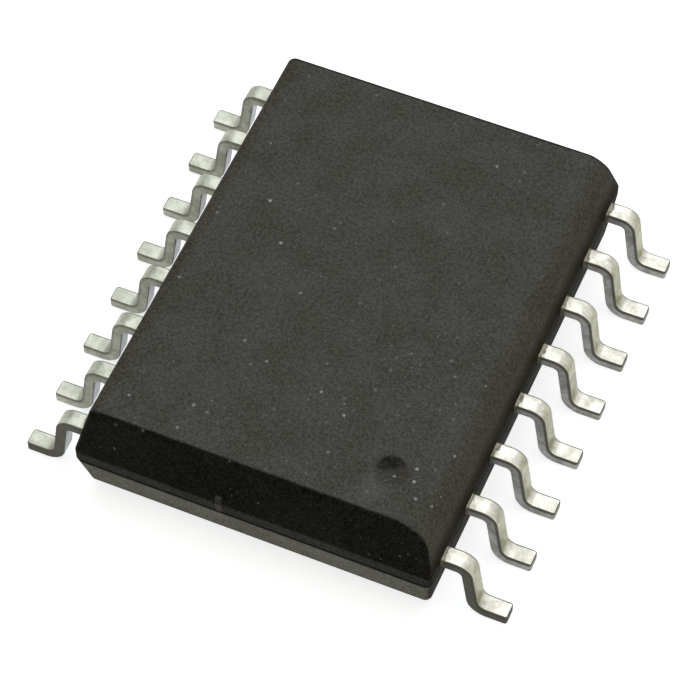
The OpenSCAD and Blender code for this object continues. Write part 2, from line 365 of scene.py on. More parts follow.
# %% [markdown]
# ## The path of a leg
#
# A gull-wing leg is a strip that leaves the body level, bends down over a small radius, comes
# down leaning a little outwards, and bends back to a flat foot. Its path is drawn down the
# middle of the metal: each bend is an arc whose radius is the inside radius plus half the
# thickness. Each station on the path keeps its place and the direction of the strip there.

# %% Path of a leg in side view
LEG_ANGLE = 8.0
SHOULDER_BEND, FOOT_BEND = 0.12, 0.20
FOOT_LENGTH = 0.43
bend_radius = SHOULDER_BEND + LEAD_THICKNESS / 2
heel_radius = FOOT_BEND + LEAD_THICKNESS / 2
heel_x = LEAD_REACH - FOOT_LENGTH
heel_z = FOOT_BEND + LEAD_THICKNESS
bend_z = SHOULDER - SHOULDER_BEND - LEAD_THICKNESS
lean_x = lean(bend_z - heel_z, LEG_ANGLE)
bend_x = heel_x - lean_x - (bend_radius + heel_radius) / math.cos(math.radians(LEG_ANGLE))


def level(start, end, z, count):
    """Stations along a level stretch: x, z and the strip's direction, which is 0."""
    return np.column_stack([np.linspace(start, end, count), np.full(count, z), np.zeros(count)])


def bend(centre_x, centre_z, radius, turns, count):
    """Stations on an arc: x = centre + radius * sin(turn), z = centre + radius * cos(turn).

    The strip points down by the turn. A negative radius puts the centre above the strip.
    """
    turn = np.linspace(*turns, count)
    return np.column_stack([
        centre_x + radius * np.sin(turn), centre_z + radius * np.cos(turn), -turn,
    ])


down = math.radians(90 - LEG_ANGLE)
shoulder_path = level(HALF_WIDTH, bend_x, SHOULDER - LEAD_THICKNESS / 2, 9)
shoulder_arc = bend(bend_x, bend_z, bend_radius, (0, down), 13)
foot_arc = bend(heel_x, heel_z, -heel_radius, (down, 0), 15)
straight = np.linspace(0, 1, 9)[1:-1, None]
leg_path = shoulder_arc[-1] + straight * (foot_arc[0] - shoulder_arc[-1])
foot_path = level(heel_x, LEAD_REACH, LEAD_THICKNESS / 2, 9)
print("bend centre at", round(bend_x, 3), round(bend_z, 3), "mm, heel centre at", round(heel_x, 3))

# %% [markdown]
# ## Width along the leg
#
# The part sealed in the body belongs to the same strip of metal, so it is made with it: a
# bonding tip, a slanting finger, and a wide anchor that keeps the leg from being pulled out.
# The toe has rounded corners, seen from above, by the same formula as the body's edges. All this
# is one table worked out along the path: place, direction, sideways shift, half width and half
# thickness at every station.

# %% Stations of a leg from its inner tip to its toe
FINGER_TIP, TIP_LENGTH, FINGER_FAN = 2.1, 0.4, 0.62
ANCHOR_HALF, ANCHOR_LENGTH, ANCHOR_COVER = 0.30, 0.35, 0.35
TOE_RADIUS, TOE_POINTS = 0.06, 12
METAL_EDGE = 0.03
STEP = 0.001
anchor_out = HALF_WIDTH - ANCHOR_COVER
anchor_in = anchor_out - ANCHOR_LENGTH
half_strip = LEAD_WIDTH / 2
half_metal = LEAD_THICKNESS / 2


def leg_stations(row_y):
    """Stations of the leg at row_y: x, z, direction, y, half width and half thickness."""
    tip_y = row_y * FINGER_FAN
    inner_x = np.array([
        FINGER_TIP, FINGER_TIP + 10 * STEP, FINGER_TIP + METAL_EDGE, FINGER_TIP + TIP_LENGTH,
        anchor_in - STEP, anchor_in, anchor_out, anchor_out + STEP, HALF_WIDTH - 10 * STEP,
    ])
    inner = np.column_stack([
        inner_x, np.full_like(inner_x, SHOULDER - half_metal), np.zeros_like(inner_x),
    ])
    toe_x = LEAD_REACH - round_heights(TOE_RADIUS, TOE_POINTS)
    toe = np.column_stack([toe_x, np.full_like(toe_x, half_metal), np.zeros_like(toe_x)])
    foot = foot_path[1:][foot_path[1:, 0] < LEAD_REACH - TOE_RADIUS]
    path = np.concatenate([
        inner, shoulder_path[:-1], shoulder_arc, leg_path, foot_arc, foot, toe,
    ])
    x = path[:, 0]
    slant = np.clip((x - FINGER_TIP - TIP_LENGTH) / (anchor_in - FINGER_TIP - TIP_LENGTH), 0, 1)
    is_inner = np.arange(len(x)) < len(inner)
    place_y = np.where(is_inner, tip_y + slant * (row_y - tip_y), row_y)
    wide = is_inner & (x >= anchor_in) & (x <= anchor_out)
    toe_loss = round_draw(x - LEAD_REACH, TOE_RADIUS)
    edge_loss = round_draw(np.maximum(x - LEAD_REACH, FINGER_TIP - x), METAL_EDGE)
    half_width = np.where(wide, ANCHOR_HALF, half_strip - toe_loss - edge_loss * is_inner)
    return np.column_stack([path, place_y, half_width, half_metal - edge_loss])


print("stations along a leg:", len(leg_stations(0.0)))

# %% [markdown]
# ## The section of a leg
#
# The strip is rolled, then punched: its broad faces are smooth and its narrow faces are
# sheared. The punch rounds the edges a little, and plating rounds them more. The section is a
# rectangle with rounded corners, carried along the path and turned with it. Each point also
# keeps three numbers that the material reads as attributes: how sheared its face is, from 0 on
# the broad faces to 1 on the narrow ones, how near it is to the outer broad face, and how near
# to a long edge, from 0 on the centre line to 1 on the narrow faces.

# %% Carry the section along the path
SECTION_CORNER = 6
SECTION_FLAT = 4
LARGEST_RADIUS = 0.9


def section(half_width, half_thickness):
    """Rounded rectangle across the strip: y, height and shearedness of its points.

    Every corner is an arc, and the points between two corners divide the flat evenly.
    """
    radius = min(METAL_EDGE, half_width * LARGEST_RADIUS, half_thickness * LARGEST_RADIUS)
    turn = np.linspace(0, math.pi / 2, SECTION_CORNER)
    signs = [(1, 1), (-1, 1), (-1, -1), (1, -1)]
    corners = []
    for quarter, (side, up) in enumerate(signs):
        angle = turn + quarter * math.pi / 2
        corners.append(np.column_stack([
            side * (half_width - radius) + radius * np.cos(angle),
            up * (half_thickness - radius) + radius * np.sin(angle),
            np.abs(np.cos(angle)),
        ]))
    parts = []
    share = np.linspace(0, 1, SECTION_FLAT + 2)[1:-1, None]
    for here, following in zip(corners, corners[1:] + corners[:1]):
        parts += [here, here[-1] + share * (following[0] - here[-1])]
    return np.concatenate(parts)


def leg_skin(side, row_y):
    """Points and faces of one leg on the side +1 or -1, with its three attributes."""
    loops = []
    sheared, outer, edge = [], [], []
    for x, z, direction, y, half_width, half_thickness in leg_stations(row_y):
        across, height, cut = section(half_width, half_thickness).T
        loops.append(np.column_stack([
            side * (x - height * math.sin(direction)), y + across, z + height * math.cos(direction),
        ]))
        toe_face = np.clip(1 - (LEAD_REACH - x) / METAL_EDGE, 0, 1)
        sheared.append(np.maximum(cut, toe_face))
        outer.append(0.5 + 0.5 * height / half_metal)
        edge.append(np.abs(across) / half_width)
    layers = {"sheared": sheared, "outer": outer, "edge": edge}
    if side < 0:
        loops = [loop[::-1] for loop in loops]
        layers = {name: [row[::-1] for row in rows] for name, rows in layers.items()}
    points, faces = skin(np.array(loops))
    ends = {"sheared": 1.0, "outer": 0.5, "edge": 1.0}
    layers = {name: np.concatenate([*rows, [ends[name]] * 2]) for name, rows in layers.items()}
    return points, faces, layers


legs = []
for number in range(1, 2 * LEADS_PER_SIDE + 1):
    side = 1 if number <= LEADS_PER_SIDE else -1
    place = number - 1 if side > 0 else 2 * LEADS_PER_SIDE - number
    row_y = (place - (LEADS_PER_SIDE - 1) / 2) * LEAD_PITCH
    points, faces, layers = leg_skin(side, row_y)
    leg = new_piece(f"gull_wing_{number:02d}", points, faces, layers, crease=50)
    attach(leg, "root")
    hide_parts(f"lead_{number:02d}")
    legs.append(leg)
print("legs:", len(legs), "with", len(legs[0].data.polygons), "faces each")

# %% [markdown]
# ## Building materials from nodes
#
# A material is a small program made of nodes. Short helpers keep the recipes readable: the
# first adds a node and fills or links its sockets, and the others mix colours and work on
# masks, which are 1 where something holds and 0 where it doesn't. All patterns run on the
# object's own coordinates, turned into millimetres, so a scale of 10 means about ten features
# to the millimetre.

# %% Node helpers
def add(tree, kind, sockets=(), **settings):
    """Adds a node. sockets maps an input's name or number to a value or to another output."""
    made = tree.nodes.new(kind)
    for key, value in settings.items():
        setattr(made, key, value)
    for key, value in dict(sockets).items():
        if isinstance(value, bpy.types.NodeSocket):
            tree.links.new(value, made.inputs[key])
        else:
            made.inputs[key].default_value = value
    return made


def mix(tree, factor, first, second):
    """Colour between first and second: first * (1 - factor) + second * factor."""
    made = add(tree, "ShaderNodeMix", {0: factor, 6: first, 7: second}, data_type="RGBA")
    return made.outputs[2]


def maths(tree, operation, first, second=0.0):
    """One step of arithmetic, clamped to the range 0 to 1."""
    made = add(tree, "ShaderNodeMath", {0: first, 1: second}, operation=operation, use_clamp=True)
    return made.outputs[0]


def ramp(tree, value, low, high):
    """0 where value is under low, 1 where it is over high, and smooth between."""
    made = add(
        tree, "ShaderNodeMapRange", {"Value": value, "From Min": low, "From Max": high},
        interpolation_type="SMOOTHSTEP",
    )
    return made.outputs[0]


def flip(tree, value):
    """1 - value."""
    return maths(tree, "SUBTRACT", 1.0, value)


def both(tree, first, second):
    """Where both masks hold: first * second."""
    return maths(tree, "MULTIPLY", first, second)


def fade(tree, value, low, high):
    """1 where value is under low, 0 where it is over high, and smooth between."""
    return flip(tree, ramp(tree, value, low, high))


def past(tree, value, start):
    """value - start, which may be negative."""
    return add(tree, "ShaderNodeMath", {0: value, 1: start}, operation="SUBTRACT").outputs[0]


def size_of(tree, value):
    """The value without its sign."""
    return add(tree, "ShaderNodeMath", {0: value}, operation="ABSOLUTE").outputs[0]


def opposite(tree, value):
    """The value with its sign turned."""
    return add(tree, "ShaderNodeMath", {0: value, 1: -1.0}, operation="MULTIPLY").outputs[0]


def split(tree, vector):
    """The three parts of a vector."""
    return add(tree, "ShaderNodeSeparateXYZ", {0: vector}).outputs


def toned(tree, tone, pair):
    """Colour between the dark and the light one of a pair, by the tone."""
    dark, light = pair
    return mix(tree, tone, (*dark, 1), (*light, 1))


def millimetres(tree):
    """Object coordinates in millimetres."""
    place = add(tree, "ShaderNodeTexCoord")
    return add(
        tree, "ShaderNodeMapping", {"Vector": place.outputs["Object"], "Scale": (1 / MM,) * 3},
    ).outputs[0]


print("node helpers ready")

# %% [markdown]
# ## Specks: one effect for dust and for pits
#
# The epoxy has pale dust and fibres on it, and the tin has dark pits. Both are the same effect:
# cells scattered through space, of which only a share shows, each as a small blot about its
# middle. Noise makes the outlines ragged, and each cell's own chance sets its size and its
# strength, so that most blots are faint and a few stand out. Stretching the coordinates first
# turns blots into fibres. It is a node group with named inputs, so each material places it with
# its own values.

# %% The speck group
def start_group(name, inputs, outputs):
    """An empty shader group with float and vector inputs and float outputs."""
    tree = bpy.data.node_groups.new(name, "ShaderNodeTree")
    for key, value in inputs.items():
        kind = "NodeSocketVector" if isinstance(value, tuple) else "NodeSocketFloat"
        socket = tree.interface.new_socket(key, in_out="INPUT", socket_type=kind)
        socket.default_value = value
    for key in outputs:
        tree.interface.new_socket(key, in_out="OUTPUT", socket_type="NodeSocketFloat")
    return tree, tree.nodes.new("NodeGroupInput").outputs, tree.nodes.new("NodeGroupOutput").inputs


specks, given, result = start_group(
    "specks", {"Vector": (0, 0, 0), "Stretch": (1, 1, 1), "Scale": 4.0, "Size": 0.1, "Share": 0.5},
    ["Mask"],
)
stretched = add(specks, "ShaderNodeVectorMath", {0: given["Vector"], 1: given["Stretch"]},
                operation="MULTIPLY").outputs[0]
WOBBLE_SCALE = 18.0
LEAST_CHANCE, SIZE_GAIN, CORE_SHARE = 0.25, 2.6, 0.3
RARITY_POWER, FAINTEST = 3.0, 0.2
wobble = add(specks, "ShaderNodeTexNoise", {
    "Vector": given["Vector"], "Scale": WOBBLE_SCALE,
}).outputs[0]
cells = add(specks, "ShaderNodeTexVoronoi", {"Vector": stretched, "Scale": given["Scale"]})
chance = add(specks, "ShaderNodeSeparateColor", {0: cells.outputs["Color"]}).outputs
ragged = both(specks, maths(specks, "ADD", chance[2], LEAST_CHANCE), wobble)
reach = both(specks, both(specks, ragged, SIZE_GAIN), given["Size"])
core = both(specks, reach, CORE_SHARE)
blot = fade(specks, cells.outputs["Distance"], core, reach)
shown = maths(specks, "GREATER_THAN", given["Share"], chance[0])
rarity = maths(specks, "POWER", chance[1], RARITY_POWER)
strength = maths(specks, "ADD", both(specks, rarity, 1 - FAINTEST), FAINTEST)
specks.links.new(both(specks, both(specks, blot, shown), strength), result["Mask"])
print("speck nodes:", len(specks.nodes))

# %% [markdown]
# ## Grain: uneven colour and a rough surface
#
# Filled epoxy is a paste of glass beads, and plated tin is a field of crystals. Each shows as a
# fine grain on top of broad, faint clouds. The second group makes both from noise. Noise stays
# close to its middle value, so each is stretched to fill the range from 0 to 1. The blend of
# the two is a tone for the colour, the fine one is a height for the bump, and the clouds alone
# can shift a hue.

# %% The grain group
grain, given, result = start_group(
    "grain", {"Vector": (0, 0, 0), "Broad": 1.0, "Fine": 30.0, "Fine share": 0.5},
    ["Tone", "Height", "Clouds"],
)
NOISE_LOW, NOISE_HIGH = 0.32, 0.68


def full_noise(scale):
    """Noise at a scale, stretched to fill the range from 0 to 1."""
    noise = add(grain, "ShaderNodeTexNoise", {
        "Vector": given["Vector"], "Scale": scale, "Detail": 3.0, "Roughness": 0.6,
    })
    return ramp(grain, noise.outputs[0], NOISE_LOW, NOISE_HIGH)


broad = full_noise(given["Broad"])
fine = full_noise(given["Fine"])
tone = add(grain, "ShaderNodeMix", {0: given["Fine share"], 2: broad, 3: fine}).outputs[0]
grain.links.new(tone, result["Tone"])
grain.links.new(fine, result["Height"])
grain.links.new(broad, result["Clouds"])


def place_group(tree, group, **sockets):
    """Places a group in a material's tree and fills its inputs."""
    made = tree.nodes.new("ShaderNodeGroup")
    made.node_tree = group
    for key, value in sockets.items():
        name = key.replace("_", " ")
        if isinstance(value, bpy.types.NodeSocket):
            tree.links.new(value, made.inputs[name])
        else:
            made.inputs[name].default_value = value
    return made.outputs


def start_material(name):
    """A material with its nodes: the tree, its shader's inputs and coordinates in millimetres."""
    material = bpy.data.materials.new(name)
    material.use_nodes = True
    tree = material.node_tree
    return material, tree, tree.nodes["Principled BSDF"].inputs, millimetres(tree)


def bump(tree, height, distance, strength=1.0):
    """Normal of a surface raised by height, which runs from 0 to 1, times a distance in mm."""
    return add(tree, "ShaderNodeBump", {
        "Height": height, "Distance": distance * MM, "Strength": strength,
    }).outputs[0]


print("groups:", specks.name, grain.name)

# %% [markdown]
# ## The moulded epoxy
#
# The top of the mould is roughened, so the top face comes out a dull grey that shows every
# grain of dust. The sloping ends come from polished steel and are smoother, and from where the
# top begins to round over they are painted nearly black as shade. The long sides are a brown
# stain darkened with painted shade, and painted darker still near the legs. Below the parting
# line the walls are duller; the end walls are paler with painted light from the floor and the
# long sides nearly black with painted shade, down to a dark foot, and dirt and painted shade sit
# in the line itself. Painted shade lies on the far wall of the dimple, with a faint ring of it
# round the dimple and a pale smear in front, and the dust is thickest thereabouts.
#
# The material tells these places apart by height, distance and the way the surface faces, and
# lays dust, flecks and fibres over them. Each kind of surface has a pair of colours, for its
# darkest and its lightest grain.

# %% Material of the body
EPOXY = {
    "warm grey": [(0.047, 0.048, 0.039), (0.104, 0.106, 0.090)],
    "cool grey": [(0.048, 0.049, 0.043), (0.103, 0.105, 0.094)],
    # This pair is painted shade: the end walls, the dimple's far wall and a ring round the dimple.
    "painted shade": [(0.0005, 0.0005, 0.0003), (0.015, 0.015, 0.011)],
    # This brown pair is a stain darkened with painted shade, for the long sides and the plain edge.
    "stain_and_shade": [(0.036, 0.033, 0.025), (0.092, 0.088, 0.070)],
    "band": [(0.016, 0.016, 0.012), (0.044, 0.044, 0.035)],
    # This pale pair is painted light, as from the floor, on the end walls below the parting line.
    "painted floor light": [(0.055, 0.056, 0.042), (0.195, 0.199, 0.156)],
    # This dark pair is painted shade on the long sides, in and below the parting band.
    "side shade": [(0.005, 0.005, 0.002), (0.018, 0.017, 0.009)],
}
# Painted shade low on the long sides, next to the legs.
NEAR_LEG_SHADE = (0.018, 0.016, 0.010, 1)
PALE_SMEAR = (0.140, 0.140, 0.145, 1)
# Dirt and painted shade in the parting line, and the dark joint over each tie bar.
DIRT_AND_SHADE = (0.001, 0.001, 0.001, 1)
DUST = (0.40, 0.40, 0.38, 1)
# The way the dimple's far wall faces; where the surface leans that way it gets painted shade.
SHADED_SIDE = (0.42, -0.91, 0.0)
SMEAR_SHIFT = (-0.30, -0.50)


def dust_and_fibres(tree, place, share):
    """Mask of pale dust grains, fainter flecks and a few short fibres."""
    dust = place_group(tree, specks, Vector=place, Scale=3.4, Size=0.17, Share=share)["Mask"]
    flecks = place_group(tree, specks, Vector=place, Scale=9.0, Size=0.26, Share=share)["Mask"]
    fibres = place_group(tree, specks, Vector=place, Stretch=(2.4, 0.5, 1.0), Scale=2.0, Size=0.08,
                         Share=0.5)["Mask"]
    grains = maths(tree, "MAXIMUM", dust, both(tree, flecks, 0.42))
    return maths(tree, "MAXIMUM", grains, fibres)


def distance_to(tree, place, spot):
    """Distance in mm from every place to one spot."""
    apart = add(tree, "ShaderNodeVectorMath", {0: place, 1: spot}, operation="DISTANCE")
    return apart.outputs["Value"]


def wall_masks(tree, facing, at):
    """Masks of the end walls and of the long sides, from the direction and the place."""
    near_end = ramp(tree, size_of(tree, at[1]), HALF_LENGTH - 0.70, HALF_LENGTH - 0.60)
    end_wall = both(tree, ramp(tree, size_of(tree, facing[1]), 0.10, 0.50), near_end)
    bevel_side = ramp(tree, facing[0], 0.30, 0.95)
    plain_side = ramp(tree, opposite(tree, facing[0]), 0.05, 0.70)
    return end_wall, maths(tree, "MAXIMUM", bevel_side, plain_side)


def top_colour(tree, normal, place, at_x, clouds, colour, tints):
    """Lays the stained, shaded edge and the dimple's smear and painted shade over the dull colour.

    Also gives the share of dust, which is highest near the dimple.
    """
    tilted = add(tree, "ShaderNodeVectorMath", {0: normal, 1: SHADED_SIDE}, operation="DOT_PRODUCT")
    from_dimple = distance_to(tree, place, (dimple_x, dimple_y, TOP))
    in_dimple = fade(tree, from_dimple, 0.46 * DIMPLE_DIAMETER, 0.60 * DIMPLE_DIAMETER)
    # Painted shade on the dimple's far wall.
    dimple_shade = both(tree, ramp(tree, tilted.outputs["Value"], 0.02, 0.28), in_dimple)
    # A faint ring of painted shade round the dimple.
    halo = fade(tree, from_dimple, 0.45 * DIMPLE_DIAMETER, 0.75 * DIMPLE_DIAMETER)
    smear_spot = (dimple_x + SMEAR_SHIFT[0], dimple_y + SMEAR_SHIFT[1], TOP)
    smear = fade(tree, distance_to(tree, place, smear_spot), 0.05, 0.55)
    smear = both(tree, smear, clouds)
    # A band along the plain side of the top takes the brown stain with painted shade.
    plain_edge = ramp(tree, opposite(tree, at_x), HALF_WIDTH - 0.62, HALF_WIDTH - 0.34)
    colour = mix(tree, both(tree, plain_edge, 0.75), colour, tints["stain_and_shade"])
    colour = mix(tree, both(tree, smear, 0.6), colour, PALE_SMEAR)
    colour = mix(tree, both(tree, halo, 0.28), colour, tints["painted shade"])
    colour = mix(tree, both(tree, dimple_shade, 0.68), colour, tints["painted shade"])
    dusty = both(tree, fade(tree, from_dimple, 0.5, 5.0), 0.7)
    return colour, maths(tree, "ADD", dusty, 0.2)


def joint_over_bar(tree, at, end_wall):
    """Mask of the thin dark joint between a tie bar's cut end and the resin above it."""
    from_bar = size_of(tree, past(tree, at[0], TIE_OFFSET))
    over_bar = fade(tree, from_bar, TIE_HALF, TIE_HALF + 0.02)
    joint = fade(tree, size_of(tree, past(tree, at[2], SHOULDER)), 0.01, 0.03)
    return both(tree, both(tree, joint, over_bar), end_wall)


def mould_compound():
    """Dull top and brown sides, with painted shade on the ends, sides and parting line.

    The lower end walls are paler with painted light, and the parting line also holds dirt.
    """
    material, tree, shader, place = start_material("mould_compound")
    normal = add(tree, "ShaderNodeNewGeometry").outputs["Normal"]
    at = split(tree, place)
    uneven = place_group(tree, grain, Vector=place, Broad=1.1, Fine=18.0, Fine_share=0.78)
    tints = {name: toned(tree, uneven["Tone"], pair) for name, pair in EPOXY.items()}
    end_wall, side_wall = wall_masks(tree, split(tree, normal), at)
    wall = maths(tree, "MAXIMUM", end_wall, side_wall)
    clouds = uneven["Clouds"]
    dull = mix(tree, clouds, tints["warm grey"], tints["cool grey"])
    top_face, dusty = top_colour(tree, normal, place, at[0], clouds, dull, tints)

    near_legs = fade(tree, at[2], SHOULDER + 0.05, SHOULDER + 0.55)
    above = ramp(tree, at[2], SHOULDER - 0.01, SHOULDER + 0.01)
    below = fade(tree, at[2], LEAD_FLOOR - 0.01, LEAD_FLOOR)
    # The parting line is darkened with dirt and painted shade.
    in_line = both(tree, ramp(tree, at[2], groove_floor - 0.09, groove_floor - 0.06),
                   fade(tree, at[2], LEAD_FLOOR + 0.01, LEAD_FLOOR + 0.03))
    wall_foot = fade(tree, at[2], UNDERSIDE + 0.06, UNDERSIDE + 0.14)
    outermost = ramp(tree, size_of(tree, at[1]), HALF_LENGTH - 0.012, HALF_LENGTH - 0.006)

    # The long sides take stain with painted shade, and more painted shade low down near the legs.
    stain_and_shade = mix(tree, near_legs, tints["stain_and_shade"], NEAR_LEG_SHADE)
    # Above the legs the end walls are painted near black as shade; their smoother finish is in the
    # roughness.
    upper = mix(tree, end_wall, mix(tree, side_wall, top_face, stain_and_shade), tints["painted shade"])
    upper = mix(tree, both(tree, outermost, end_wall), upper, tints["band"])
    # Below the parting line the end walls are painted light and the long sides painted shade.
    lower = mix(tree, side_wall, mix(tree, end_wall, dull, tints["painted floor light"]), tints["side shade"])
    lower = mix(tree, both(tree, wall_foot, wall), lower, tints["band"])
    # On the long sides the parting band is painted shade too.
    middle_band = mix(tree, side_wall, tints["band"], tints["side shade"])
    colour = mix(tree, above, mix(tree, below, middle_band, lower), upper)
    colour = mix(tree, in_line, colour, DIRT_AND_SHADE)
    colour = mix(tree, joint_over_bar(tree, at, end_wall), colour, DIRT_AND_SHADE)
    dirt = both(tree, dust_and_fibres(tree, place, dusty), flip(tree, both(tree, wall, 0.65)))
    tree.links.new(mix(tree, dirt, colour, DUST), shader["Base Color"])

    tree.links.new(maths(tree, "SUBTRACT", 0.78, both(tree, wall, 0.18)), shader["Roughness"])
    height = maths(tree, "ADD", both(tree, uneven["Height"], 0.6), both(tree, dirt, 0.4))
    tree.links.new(bump(tree, height, 0.008, 0.6), shader["Normal"])
    shader["Specular IOR Level"].default_value = 0.02
    return material


body.data.materials.append(mould_compound())
print("body painted")

# %% [markdown]
# ## Plated tin
#
# Matte tin is a metal, but not a mirror: it is a creamy grey with faint clouds and a few pits.
# The upright faces are painted greyer than the shoulder and the foot as shade, and bluish on
# the inside. The sheared faces are darker, by their own finish and by painted shade, darkest with
# painted shade on the two legs at the near end, with a dark line of painted shade along their
# upper edge, and a fine grey line of painted shade runs along every long edge. The left row is
# painted darker than the right as shade. Next to the body a film of resin has crept out over the
# metal.

# %% Material of the legs
TIN = {
    "creamy": [(0.38, 0.38, 0.32), (0.72, 0.72, 0.66)],
    # This pair is painted shade for the broad faces of the left row.
    "left row shade": [(0.27, 0.29, 0.23), (0.46, 0.48, 0.42)],
    # This pair is painted shade for the outer upright faces.
    "upright shade": [(0.25, 0.25, 0.16), (0.46, 0.46, 0.34)],
    # This bluish pair is painted shade for the inner upright faces.
    "bluish": [(0.28, 0.30, 0.32), (0.50, 0.53, 0.56)],
    # This pair is the sheared faces' darker finish, deepened with painted shade.
    "cut": [(0.19, 0.19, 0.17), (0.40, 0.40, 0.38)],
    # This pair is painted shade for the sheared faces of the left row.
    "left row cut shade": [(0.26, 0.27, 0.21), (0.48, 0.49, 0.42)],
}
# Painted shade on the sheared faces of the two legs at the near end.
NEAR_CUT_SHADE = (0.030, 0.030, 0.019, 1)
# Painted shade along every long edge of the legs.
RIM_SHADE = (0.11, 0.11, 0.09, 1)
# Painted shade along the upper edge of the sheared faces.
UPPER_EDGE_SHADE = (0.035, 0.035, 0.022, 1)
RESIN_FILM = (0.14, 0.12, 0.08, 1)
FILM_EDGE = (0.07, 0.07, 0.035, 1)
PIT = (0.16, 0.16, 0.13, 1)


def attribute(tree, name):
    """One of the numbers that each point of a leg keeps."""
    return add(tree, "ShaderNodeAttribute", attribute_name=name).outputs["Fac"]


def resin_film(tree, at_x, clouds, colour):
    """Lays the brown film of resin and its darker edge over a colour, next to the body."""
    crept = past(tree, at_x, both(tree, clouds, 0.07))
    film = fade(tree, crept, HALF_WIDTH + 0.01, HALF_WIDTH + 0.05)
    film_edge = both(tree, ramp(tree, crept, HALF_WIDTH, HALF_WIDTH + 0.02),
                     fade(tree, crept, HALF_WIDTH + 0.03, HALF_WIDTH + 0.06))
    colour = mix(tree, both(tree, film, 0.8), colour, RESIN_FILM)
    return mix(tree, both(tree, film_edge, 0.7), colour, FILM_EDGE)


def tin_plating():
    """Creamy matte metal, with greyer upright faces and dark sheared edges in painted shade."""
    material, tree, shader, place = start_material("tin_plating")
    facing_z = split(tree, add(tree, "ShaderNodeNewGeometry").outputs["Normal"])[2]
    across, along, _ = split(tree, place)
    uneven = place_group(tree, grain, Vector=place, Broad=3.2, Fine=11.0, Fine_share=0.3)
    tints = {name: toned(tree, uneven["Tone"], pair) for name, pair in TIN.items()}
    left_row = ramp(tree, opposite(tree, across), 0.0, 1.0)
    last_gap = (LEADS_PER_SIDE / 2 - 1) * LEAD_PITCH
    near_leg = ramp(tree, opposite(tree, along), last_gap, last_gap + 0.1)
    sheared = attribute(tree, "sheared")
    outer = attribute(tree, "outer")
    rim = maths(tree, "MAXIMUM", ramp(tree, attribute(tree, "edge"), 0.80, 0.88),
                ramp(tree, sheared, 0.15, 0.60))
    side_face = ramp(tree, sheared, 0.60, 0.95)
    upright = fade(tree, facing_z, 0.40, 0.985)
    inside = fade(tree, outer, 0.40, 0.60)
    # Painted shade along the upper edge of the sheared faces, weaker on the left row.
    upper_edge_shade = both(tree, ramp(tree, outer, 0.70, 0.85), rim)
    upper_edge_shade = both(tree, upper_edge_shade, maths(tree, "SUBTRACT", 0.8, both(tree, left_row, 0.4)))
    pits = place_group(tree, specks, Vector=place, Scale=4.0, Size=0.22, Share=0.4)["Mask"]

    # The left row is painted darker as shade.
    broad_face = mix(tree, left_row, tints["creamy"], tints["left row shade"])
    # The sheared faces take their darker finish with painted shade.
    cut = mix(tree, left_row, tints["cut"], tints["left row cut shade"])
    # The two legs at the near end get the darkest painted shade on their sheared faces.
    cut = mix(tree, both(tree, near_leg, 0.90), cut, NEAR_CUT_SHADE)
    # The upright faces are greyer with painted shade, bluish on the inside.
    shaded_upright = mix(tree, inside, tints["upright shade"], tints["bluish"])
    colour = mix(tree, upright, broad_face, shaded_upright)
    # A grey line of painted shade along the edges.
    colour = mix(tree, both(tree, rim, 0.85), colour, RIM_SHADE)
    colour = mix(tree, side_face, colour, cut)
    colour = mix(tree, upper_edge_shade, colour, UPPER_EDGE_SHADE)
    colour = resin_film(tree, size_of(tree, across), uneven["Clouds"], colour)
    tree.links.new(mix(tree, both(tree, pits, 0.30), colour, PIT), shader["Base Color"])

    shader["Metallic"].default_value = 0.75
    tree.links.new(maths(tree, "ADD", 0.38, both(tree, rim, 0.2)), shader["Roughness"])
    tree.links.new(bump(tree, uneven["Clouds"], 0.012, 0.6), shader["Normal"])
    return material


plating = tin_plating()
for leg in legs:
    leg.data.materials.append(plating)
print("legs painted:", len(legs))

# %% [markdown]
# ## What is sealed inside
#
# The die, its pad, the adhesive and the bond wires can't be seen in a whole chip, but whoever
# takes the model apart finds them. They keep the meshes of the frame, and each gets a plain,
# true finish: rolled copper alloy, silver-filled glue, polished silicon and drawn gold wire.

# %% Materials of the inner pieces
def rolled_copper():
    """Bare copper alloy with faint rolling lines, tarnished dark at the cut ends of the bars."""
    material, tree, shader, place = start_material("rolled_copper")
    lines = add(tree, "ShaderNodeMapping", {"Vector": place, "Scale": (14.0, 0.8, 1.0)}).outputs[0]
    uneven = place_group(tree, grain, Vector=lines, Broad=1.0, Fine=4.0, Fine_share=0.5)
    along = split(tree, place)[1]
    cut_end = ramp(tree, size_of(tree, along), HALF_LENGTH - 0.03, HALF_LENGTH - 0.01)
    bare = toned(tree, uneven["Tone"], [(0.20, 0.12, 0.07), (0.42, 0.27, 0.17)])
    tarnish = toned(tree, uneven["Tone"], [(0.022, 0.021, 0.014), (0.050, 0.048, 0.036)])
    tree.links.new(mix(tree, cut_end, bare, tarnish), shader["Base Color"])
    tree.links.new(flip(tree, cut_end), shader["Metallic"])
    shader["Specular IOR Level"].default_value = 0.06
    tree.links.new(maths(tree, "ADD", 0.3, both(tree, uneven["Tone"], 0.3)), shader["Roughness"])
    tree.links.new(bump(tree, uneven["Height"], 0.003), shader["Normal"])
    return material


def silver_glue():
    """Grey adhesive full of silver flakes."""
    material, tree, shader, place = start_material("silver_glue")
    flakes = place_group(tree, specks, Vector=place, Scale=24.0, Size=0.4, Share=0.6)["Mask"]
    uneven = place_group(tree, grain, Vector=place, Broad=2.0, Fine=18.0, Fine_share=0.5)
    colour = toned(tree, flakes, [(0.42, 0.42, 0.40), (0.80, 0.80, 0.78)])
    tree.links.new(colour, shader["Base Color"])
    tree.links.new(both(tree, flakes, 0.8), shader["Metallic"])
    shader["Roughness"].default_value = 0.5
    tree.links.new(bump(tree, uneven["Height"], 0.004), shader["Normal"])
    return material


